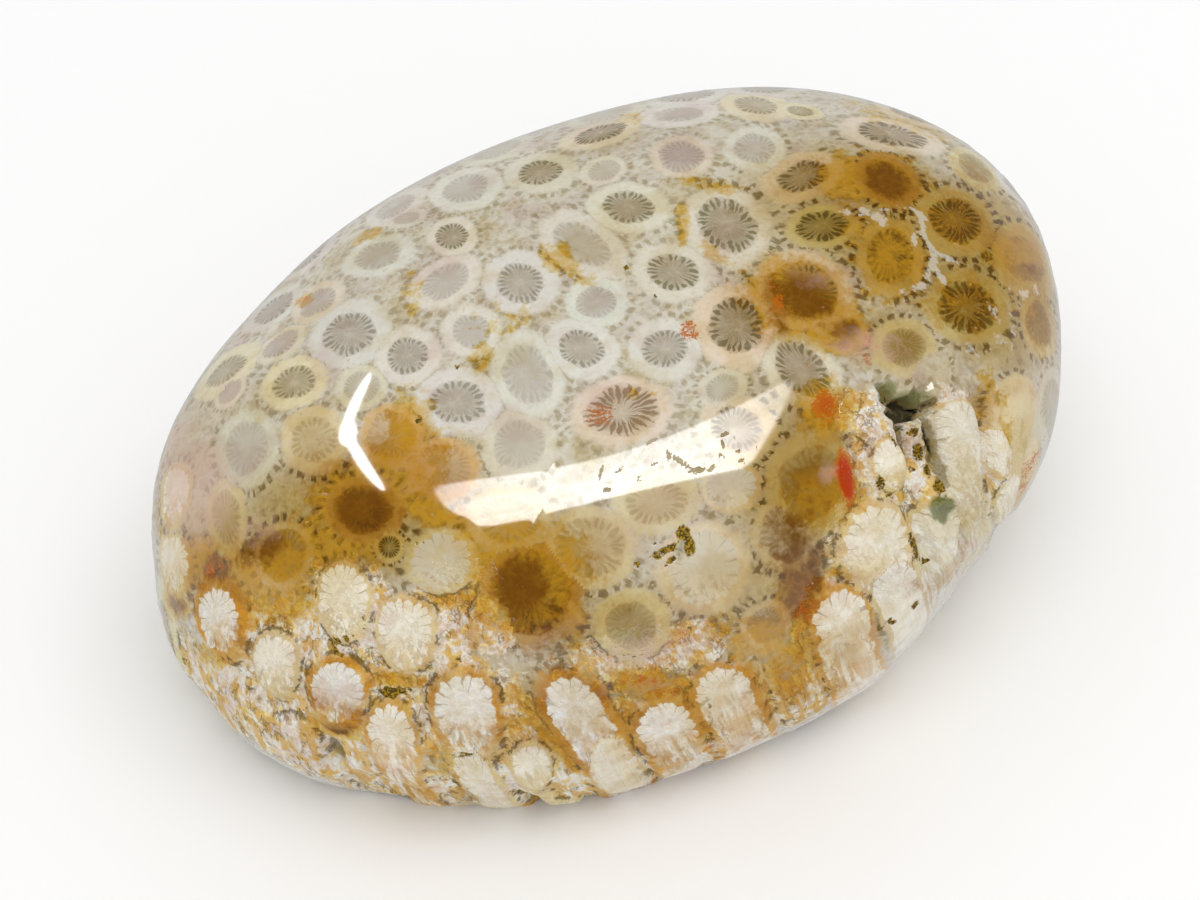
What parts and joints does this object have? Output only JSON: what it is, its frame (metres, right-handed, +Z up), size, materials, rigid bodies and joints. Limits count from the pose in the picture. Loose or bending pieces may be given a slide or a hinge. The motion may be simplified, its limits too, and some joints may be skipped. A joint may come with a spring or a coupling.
{
  "type": "fossil coral head",
  "caption": "Polished head of agatized fossil coral: a low oval dome of packed corallite tubes with a flat ground base, for display or as a hand stone.",
  "frame": {"origin": "middle of the flat ground base, on the surface the stone rests on", "axes": "+X along the stone's length towards its broader end, +Y across it, +Z up through the crown of the dome"},
  "size_m": [0.0898, 0.0629, 0.043],
  "materials": {
    "agatized_coral": "polished agate, cream and grey with ochre stains, chalky round the foot"
  },
  "bodies": {
    "root": {"coral_head": "agatized_coral"}
  },
  "joints": []
}
